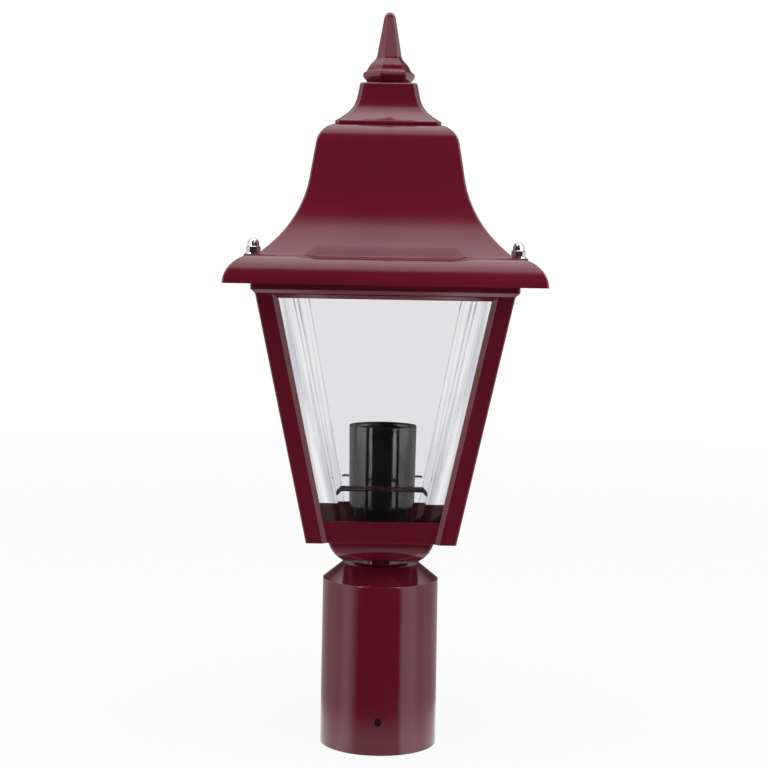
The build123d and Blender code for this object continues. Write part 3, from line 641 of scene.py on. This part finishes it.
# half widths and heights of the bell and shoulder are counted from the crease
roof = {"creaseHalf": 66.1, "eaveOut": 17.0, "eaveUp": 15.0, "wall": 2.8, "ridge": 1.1, "lip": 0.5,
        "bell": [(56.4, 9.1), (47.5, 21.8), (42.4, 34.6), (40.0, 47.3), (38.0, 59.5)],
        "shoulder": [(35.3, 65.5), (27.5, 69.9)], "rodHole": 3.25, "seatUp": 10.94,
        "flatHalf": 36.0, "flatWall": 64.0, "flatDeep": 1.1, "soften": 6.5, "press": 1.8,
        "rampFrom": 34.0, "rampTo": 52.0, "rampFromShare": 0.45, "rampToShare": 0.72,
        "boss": 5.4, "bossHole": 2.3, "bossDown": 6.0, "bossEdge": 0.5}
eaveZ = boxMM("roof_shell")[0][2]
creaseZ = eaveZ + roof["eaveUp"]


def roofSamples(stretch):
    # positions along a side: even in the middle, close over the ends of the flats, and even out to the corner
    v = roof
    inner = np.minimum(v["rampFrom"], v["rampFromShare"] * stretch)
    outer = np.minimum(v["rampTo"], v["rampToShare"] * stretch)
    ramp = np.linspace(0, 1, 25)[None, :-1]
    rest = np.linspace(0, 1, 13)[None, :-1]
    middle = -inner + 2 * inner * np.linspace(0, 1, 17)[None, 1:-1]
    full = [-stretch, -outer - (stretch - outer) * (1 - rest[:, 1:]), -inner - (outer - inner) * (1 - ramp),
            -inner, middle, inner, inner + (outer - inner) * ramp[:, 1:],
            outer + (stretch - outer) * rest, stretch]
    return np.concatenate([np.broadcast_to(run, (len(stretch), run.shape[1])) for run in full], 1)


def refine(line, half):
    # extra points where the line passes a half width, so that the flats' long edge has enough to bend
    extra = half + np.linspace(-1.0, 1.0, 9)
    order = np.argsort(-line[:, 0])
    heights = np.interp(-extra, -line[order, 0], line[order, 1])
    both = np.concatenate([line, np.stack([extra, heights], 1)])
    return both[np.argsort(-both[:, 0], kind="stable")]


def pressFlats(points, outerRows):
    # the flats in the crease: how far inside a flat's outline, with splayed ends, a point lies gives its share
    # by a smooth step, and it sinks by that share towards the flat's level, by no more than the press
    v = roof
    level = creaseZ - v["flatDeep"]
    out = np.maximum(np.abs(points[..., 0]), np.abs(points[..., 1]))
    along = np.minimum(np.abs(points[..., 0]), np.abs(points[..., 1]))
    inside = np.minimum(out - v["flatWall"], (v["flatHalf"] + out - v["flatWall"] - along) / 2 ** 0.5)
    share = np.clip(inside / v["soften"] + 0.5, 0, 1)
    share = share * share * (3 - 2 * share)
    share[outerRows:] = 0
    points[..., 2] -= share * np.clip(points[..., 2] - level, 0, v["press"])
    return points


def roofShell():
    # the outline runs up the eave's quarter ellipse, the bell's spline and the shoulder's arc, and back down
    # inside, and goes round the square
    v = roof
    eaveCentre = (v["creaseHalf"], eaveZ)
    eave = ellipse(eaveCentre, (v["eaveOut"], v["eaveUp"]), np.linspace(0, pi / 2, 19)[:, None])
    bellLine = [(half, creaseZ + up) for half, up in v["bell"]]
    bell = smoothLine([(v["creaseHalf"], creaseZ)] + bellLine, perSpan=14)
    turn, crown = [(half, creaseZ + up) for half, up in v["shoulder"]]
    shoulder = arcThrough(bellLine[-1], turn, crown, steps=8)
    rodTop = [(v["rodHole"], crown[1])]
    outside = np.concatenate([eave[:-1], refine(bell, v["flatWall"]), shoulder[1:], rodTop])
    inner = [(v["rodHole"], crown[1] - v["wall"]), (crown[0], crown[1] - v["wall"])]
    inner += [(half - v["wall"], z) for half, z in bellLine[::-1]]
    seatHalf = v["flatWall"] - v["wall"]
    inner += [(seatHalf, creaseZ + v["flatDeep"]), (seatHalf, eaveZ + v["seatUp"])]
    underOut, underUp = v["eaveOut"] - v["wall"], v["eaveUp"] - v["wall"]
    seatAngle = np.arcsin(v["seatUp"] / underUp)
    under = ellipse(eaveCentre, (underOut, underUp), np.linspace(seatAngle, 0, 9)[:, None])
    lip = [(v["creaseHalf"] + underOut + v["lip"], eaveZ)]
    points = sidedPoints(np.concatenate([outside, inner, under, lip]), v["ridge"], flats=roofSamples)
    piece("roofShell", grid(pressFlats(points, len(outside)), closedAlong=True), "roof_shell", sharp=40)


def nutBosses():
    # round pads on the eave that carry the washers and nuts
    v = roof
    for name in ("left", "right"):
        low, high = boxMM("stud_washer_" + name)
        root = low[2] - v["bossDown"]
        pad = rounded([(v["bossHole"], root), (v["boss"], root), (v["boss"], low[2]), (v["bossHole"], low[2])],
                      [0, 0, v["bossEdge"], 0])
        piece("nutBoss_" + name, turned(pad, (low + high)[:2] / 2, turns=48), "roof_shell", replaced=False)


# half widths and heights of the rise are counted from the lip's foot
cap = {"lip": 28.4, "lipHeight": 1.8, "lipEdge": 0.5, "corner": 2.8, "wall": 2.4, "under": 0.5,
       "topEdge": 1.5, "topIn": 0.2, "rodHole": 3.25,
       "rise": [(28.0, 1.8), (27.0, 2.4), (23.9, 4.6), (20.9, 7.3), (18.6, 10.6), (17.2, 14.2), (16.4, 18.0),
                (15.7, 21.6)]}


def crownCap():
    # a low square lip, then a concave spline that rises to a small flat top, and back down inside
    v = cap
    low, high = (corner[2] for corner in boxMM("crown_cap"))
    lipTop = low + v["lipHeight"]
    edge = rounded([(v["lip"], low), (v["lip"], lipTop), (v["rise"][0][0], lipTop)], [0, v["lipEdge"], 0],
                   closed=False)
    rise = smoothLine([(half, low + up) for half, up in v["rise"]], perSpan=5)
    topHalf = v["rise"][-1][0]
    top = rounded([tuple(rise[-1]), (topHalf - v["topIn"], high), (v["rodHole"], high)], [0, v["topEdge"], 0],
                  closed=False)
    inside = [(v["rodHole"], high - v["wall"]), (topHalf - v["wall"], high - v["wall"])]
    inside += [(half - v["wall"], low + up - v["under"]) for half, up in v["rise"][-2:1:-1]]
    outline = np.concatenate([edge, rise[1:-1], top[1:], inside, [(v["lip"] - v["wall"], low)]])
    piece("crownCap", sided(outline, v["corner"], arcSteps=8), "crown_cap", sharp=35)


finialShape = {"base": 9.7, "baseEdge": 0.3, "brim": 12.3, "brimUp": 3.6, "brimHigh": 2.5, "bulge": 0.22,
               "middle": 9.3, "middleUp": 10.2, "waist": 5.95, "waistUp": 15.4, "tip": 2.9, "tipUp": 35.6,
               "flareEnds": [(-1, 0.25), (-0.12, 1)], "tipEnds": [(-0.1, 1), (-1, 0)], "point": 0.02,
               "turn": 10.0, "corner": 0.5, "cornerShare": 0.18, "bore": 3.05, "boreUp": 12.0}


def finial():
    # six-sided spire: a flared foot, a brim, a hollow curve to the waist and a long taper to a round tip
    v = finialShape
    low, high = (corner[2] for corner in boxMM("finial"))
    brimLow, brimHigh = low + v["brimUp"], low + v["brimUp"] + v["brimHigh"]
    foot = rounded([(v["bore"], low), (v["base"], low), (v["brim"], brimLow)], [0, v["baseEdge"], 0],
                   closed=False)
    bulge = arcThrough((v["brim"], brimLow), (v["brim"] + v["bulge"], brimLow + v["brimHigh"] / 2),
                       (v["brim"], brimHigh), steps=6)
    waist = (v["waist"], low + v["waistUp"])
    flare = smoothLine([tuple(bulge[-1]), (v["middle"], low + v["middleUp"]), waist], perSpan=10,
                       ends=v["flareEnds"])
    taper = np.linspace(waist, (v["tip"], low + v["tipUp"]), 8)
    tip = smoothLine([tuple(taper[-1]), (v["point"], high)], perSpan=10, ends=v["tipEnds"])
    hollow = [(v["point"], low + v["boreUp"]), (v["bore"], low + v["boreUp"])]
    outline = np.concatenate([foot, bulge[1:], flare[1:], taper[1:], tip[1:], hollow])
    corner = np.minimum(v["corner"], v["cornerShare"] * outline[:, 0])
    corner[:1] = corner[-2:] = outline[[0], 0]    # the bore is round
    piece("finialSpire", sided(outline, corner, sides=6, turn=-90 + v["turn"], arcSteps=5), "finial", sharp=32)


domeNut = {"flats": 3.5, "hexHeight": 3.6, "bevel": 0.45, "footBevel": 0.15, "corner": 0.15, "footRound": 0.5,
           "topRound": 0.62, "dome": 3.2, "domeRoot": 1.0, "bore": 2.05, "boreUp": 6.4}


def domeNuts():
    # a hexagon whose ends are rounder than its middle, and a hollow round dome on it
    v = domeNut
    for name in ("left", "right"):
        low, high = boxMM("dome_nut_" + name)
        middle = (low + high)[:2] / 2
        foot, root, boreTop = low[2], low[2] + v["domeRoot"], low[2] + v["boreUp"]
        flats, bore, hexTop = v["flats"], v["bore"], foot + v["hexHeight"]
        hexagon = np.array([(bore, foot), (flats - v["footBevel"], foot), (flats, foot + v["footBevel"]),
                            (flats, hexTop - v["bevel"]), (flats - v["bevel"], hexTop), (bore, hexTop)])
        corner = np.array([bore, flats * v["footRound"], v["corner"], v["corner"], flats * v["topRound"], bore])
        base = sided(hexagon, corner, sides=6, arcSteps=5, centre=middle)
        top = ellipse((0, high[2] - v["dome"]), (v["dome"], v["dome"]), np.linspace(0, pi / 2, 12)[:, None])
        dome = np.concatenate([[(v["dome"], root)], top, [(0, boreTop), (bore, boreTop), (bore, root)]])
        piece("domeNut_" + name, joined(base, turned(dome, middle, turns=48)), "dome_nut_" + name, sharp=30)


holder = {"footHalf": 18.1, "rimHalf": 18.7, "wall": 1.3, "edge": 0.45, "ringIn": 15.05, "ringUp": 6.0,
          "thread": 0.25, "threadPitch": 1.8, "threadFrom": 1.2, "threadLong": 12.0, "threadClear": 0.05,
          "coverHalf": 16.05, "coverWall": 1.8, "coverUp": 9.6, "coverEdge": 1.5, "coverFine": 0.3,
          "neckHalf": 15.0, "stemHole": 5.05}


def holderSkirt():
    # a long thin-walled skirt with a softened rim; its inside is ribbed near the mouth by a shallow thread,
    # whose radius is a cosine of the height
    v = holder
    low, high = (corner[2] for corner in boxMM("holder_skirt"))
    footIn, rimIn, threadTop = v["footHalf"] - v["wall"], v["rimHalf"] - v["wall"], high - v["threadFrom"]
    share = np.linspace(0, 1, 49)[:, None]
    wave = 0.5 - 0.5 * np.cos(2 * pi * share * v["threadLong"] / v["threadPitch"])
    threadR = rimIn - v["threadClear"] - v["thread"] * wave
    thread = np.concatenate([threadR, threadTop - share * v["threadLong"]], 1)
    outer = rounded([(footIn, low), (v["footHalf"], low), (v["rimHalf"], high), (rimIn, high),
                     (rimIn, threadTop)], [0, v["edge"], v["edge"], v["edge"], 0], closed=False)
    inner = [(footIn, low + v["ringUp"]), (v["ringIn"], low + v["ringUp"]), (v["ringIn"], low)]
    outline = np.concatenate([outer, thread[1:], inner])
    piece("holderSkirt", turned(outline, turns=128), "holder_skirt", sharp=35)


def holderCover():
    # the cup that the skirt is screwed on to
    v = holder
    low, high = (corner[2] for corner in boxMM("holder_cover"))
    step, neckIn, fine = low + v["coverUp"], v["neckHalf"] - v["coverWall"], v["coverFine"]
    corners = [(v["stemHole"], low), (v["coverHalf"], low), (v["coverHalf"], step), (v["neckHalf"], step),
               (v["neckHalf"], high), (neckIn, high), (neckIn, low + v["coverWall"]),
               (v["stemHole"], low + v["coverWall"])]
    outline = rounded(corners, [0, v["coverEdge"], fine, 0, fine, fine, 0, 0])
    piece("holderCover", turned(outline), "holder_cover", sharp=35)


spring = {"wire": 0.22, "turns": 6, "steps": 32, "round": 12, "pressed": 3.0}


def contactSprings():
    # round wire carried along a helix
    v = spring
    for name in ("front", "rear"):
        low, high = boxMM("contact_spring_" + name)
        middle = (low + high) / 2
        radius = (high - low)[0] / 2 - v["wire"]
        angle = np.linspace(0, 2 * pi * v["turns"], v["turns"] * v["steps"] + 1)[:, None]
        height = np.linspace(low[2] + v["wire"], high[2] - v["wire"], len(angle))[:, None]
        out = np.concatenate([np.cos(angle), np.sin(angle), 0 * angle], 1)
        line = radius * out + np.concatenate([middle[0] + 0 * angle, middle[1] + 0 * angle, height], 1)
        along = np.gradient(line, axis=0)
        along /= np.linalg.norm(along, axis=1, keepdims=True)
        side = np.cross(along, out)
        turn = np.linspace(0, 2 * pi, v["round"], endpoint=False)[None, :, None]
        tube = line[:, None] + v["wire"] * (np.cos(turn) * out[:, None] + np.sin(turn) * side[:, None])
        made = piece("contactSpring_" + name, grid(tube, caps=True), "contact_spring_" + name, sharp=60)
        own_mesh(made)


postSleeve()
baseBowl()
cornerBars()
frameRim()
baseTray()
glassStrips()
print("frame pieces made")
roofShell()
nutBosses()
crownCap()
finial()
domeNuts()
print("roof pieces made")
holderSkirt()
holderCover()
contactSprings()
print("lampholder pieces made")


# angles in degrees round the room from straight in front, to the right; distances in metres
studio = {"floorHalf": 30.0, "floorBelow": 0.0002, "floorGrey": 0.75, "floorOwn": 0.92, "fadeNear": 0.35,
          "fadeFar": 2.2, "ambient": 0.40, "front": 0.02, "centreY": -0.016,
          "left": (-68.0, -38.0), "right": (37.0, 49.0), "band": 1.4, "side": 0.8, "sideFrom": 68.0,
          "sideTo": 88.0, "back": 0.55, "backFrom": 95.0, "backTo": 125.0,
          "glints": ((-42.0, 9.0), (39.5, 6.0)), "glintHalf": 4.0, "glintFrom": 0.6, "glintTo": 1.0,
          "far": 0.4, "foot": 0.7, "footFrom": 0.13, "footTo": 0.055}


def roundTheRoom(t, x, y):
    # what a reflection meets by its direction round the room: dark in front, a bright band each side of it
    # that is soft on the left and crisp on the right, and paler walls beside and behind the object
    v = studio
    around = x.degreesOver(0 - y)
    aside = abs(around)
    left = t.span(around, v["left"][0], v["left"][1], v["band"], 0.0)
    right = t.span(around, v["right"][0], v["right"][1], 0.0, v["band"])
    wall = t.span(aside, v["sideFrom"], v["sideTo"], 0.0, v["band"] - v["side"])
    far = t.span(aside, v["backFrom"], v["backTo"], 0.0, v["side"] - v["back"])
    return left + right - wall - far + v["front"], around


def glint(t, around):
    # two narrow lamps, one each side
    v = studio
    total = 0.0
    for angle, power in v["glints"]:
        total = t.span(abs(around - angle), v["glintHalf"] * 0.5, v["glintHalf"], power, 0.0) + total
    return total


def lightPath(t, *names):
    # 1 where the ray is any of the named kinds
    total = t.node("ShaderNodeLightPath", out=names[0])
    for name in names[1:]:
        total = total + t.node("ShaderNodeLightPath", out=name)
    return total.least(1.0)


def seenDirect(t):
    # 1 where the ray comes straight from the camera, or through the panes without a reflection
    bounced = lightPath(t, "Glossy Depth", "Diffuse Depth")
    return lightPath(t, "Is Camera Ray") + lightPath(t, "Is Transmission Ray") * (1 - bounced)


def makeFloor():
    # the eye sees a pale floor that fades to white, with the object's shadow; reflections see the room, with
    # the lamps on its far part and a glow round the object's foot
    v = studio
    h, z = v["floorHalf"], cadLow.z - v["floorBelow"]
    mesh = bpy.data.meshes.new("floor")
    mesh.from_pydata([(-h, -h, z), (h, -h, z), (h, h, z), (-h, h, z)], [], [(0, 1, 2, 3)])
    floor = bpy.data.objects.new("floor", mesh)
    bpy.context.scene.collection.objects.link(floor)
    t = Tree(bpy.data.materials.new("paleFloor"))
    x, y, _ = t.parts(t.place())
    seen = seenDirect(t)
    away = (x * x + y * y) ** 0.5
    own = seen * t.span(away, v["fadeNear"], v["fadeFar"], v["floorOwn"], 1.0)
    mirrored = lightPath(t, "Is Glossy Ray") * (1 - seen)
    room, around = roundTheRoom(t, x, y - v["centreY"])
    distant = t.span(away, v["glintFrom"], v["glintTo"])
    room = room * (1 + distant * v["far"]) + glint(t, around) * distant
    room = room + t.span(away, v["footFrom"], v["footTo"], 0.0, v["foot"])
    paint = t.node("ShaderNodeBsdfDiffuse", {}, {"Color": colour(*[v["floorGrey"]] * 3)})
    glow = t.node("ShaderNodeEmission", {}, {"Color": t.grey(seen + mirrored * room)})
    mesh.materials.append(t.surface(t.node("ShaderNodeMixShader", {}, {0: own + mirrored, 1: paint, 2: glow})))


# angles in degrees: front, back and spireUp above the horizon, spire and edge round the room. The spans
# behind, overRise and overFall are of y, which is 1 straight behind the object
sky = {"frontFrom": 57.0, "frontTo": 78.0, "backFrom": 32.0, "backTo": 50.0, "behind": (-0.05, 0.25),
       "front": 1.95, "over": 0.45, "overRise": (-0.12, 0.15), "overFall": (0.3, 0.5),
       "spire": (13.0, 32.0), "spireUp": (8.0, 36.0), "spirePower": 1.1, "edge": 4.0,
       "edgeFrom": 138.0, "edgeTo": 152.0, "edgeLevel": 0.12}


def makeWorld():
    # the eye sees white; reflections see the room, and over it a ceiling that is brightest just behind
    # overhead, a patch for the turned spire, and a dark part straight behind; all else is even light
    v, c = studio, sky
    world = bpy.data.worlds.new("studioWorld")
    bpy.context.scene.world = world
    t = Tree(world)
    x, y, z = t.parts(t.node("ShaderNodeTexCoord", out="Generated"))
    height = z.degreesOver((x * x + y * y) ** 0.5)
    behind = t.span(y, *c["behind"])
    ceiling = t.span(height, c["frontFrom"] - (c["frontFrom"] - c["backFrom"]) * behind,
                     c["frontTo"] - (c["frontTo"] - c["backTo"]) * behind)
    over = c["front"] + t.span(y, *c["overRise"]) * c["over"] - t.span(y, *c["overFall"]) * c["over"]
    room, around = roundTheRoom(t, x, y)
    patch = t.span(around, c["spire"][0] - c["edge"], c["spire"][0]) \
        * t.span(around, c["spire"][1], c["spire"][1] + c["edge"], 1.0, 0.0) \
        * t.span(height, c["spireUp"][0] - c["edge"], c["spireUp"][0]) \
        * t.span(height, c["spireUp"][1], c["spireUp"][1] + c["edge"], 1.0, 0.0)
    room = room * (1 + v["far"]) * t.span(abs(around), c["edgeFrom"], c["edgeTo"], 1.0, c["edgeLevel"])
    room = (room + glint(t, around) + patch * c["spirePower"]) * (1 - ceiling) + ceiling * over
    mirrored = lightPath(t, "Is Glossy Ray", "Is Transmission Ray")
    seen = seenDirect(t)
    strength = (v["ambient"] * (1 - mirrored) + room * mirrored) * (1 - seen) + seen
    t.surface(t.node("ShaderNodeBackground", {}, {"Color": colour(1, 1, 1), "Strength": strength}))


lampAim = (0, 0, 0.2)
lamps = {"key": {"at": (0, -0.42, 1.57), "size": (1.4, 1.0), "power": 18.0},
         "sideLeft": {"at": (-1.35, -0.22, 0.35), "size": (0.9, 1.3), "power": 8.5},
         "sideRight": {"at": (1.35, -0.22, 0.35), "size": (0.9, 1.3), "power": 8.5}}


def makeLights():
    # broad soft lamps from above and from both sides, kept out of the reflections
    for name, v in lamps.items():
        light = bpy.data.lights.new(name, "AREA")
        light.shape = "RECTANGLE"
        light.size, light.size_y = v["size"]
        light.energy = v["power"]
        made = bpy.data.objects.new(name, light)
        made.location = v["at"]
        made.rotation_euler = (Vector(lampAim) - Vector(v["at"])).to_track_quat("-Z", "Y").to_euler()
        made.visible_camera = made.visible_glossy = False
        bpy.context.scene.collection.objects.link(made)


camera = {"lens": 84.375, "sensor": 36.0, "away": 0.996, "side": 0.00015, "height": 0.2787, "down": 4.45,
          "roll": 0.991}


def makeCamera():
    # a long lens at the photograph's viewing angle, looking a little down
    v = camera
    data = bpy.data.cameras.new("camera")
    data.lens, data.sensor_width = v["lens"], v["sensor"]
    made = bpy.data.objects.new("camera", data)
    tilt = Matrix.Rotation(radians(90 - v["down"]), 4, "X") @ Matrix.Rotation(radians(v["roll"]), 4, "Z")
    made.matrix_world = Matrix.Translation((v["side"], -v["away"], v["height"])) @ tilt
    bpy.context.scene.collection.objects.link(made)
    bpy.context.scene.camera = made


makeFloor()
makeWorld()
makeLights()
makeCamera()
bpy.context.scene.view_settings.view_transform = "Standard"
print("studio ready")
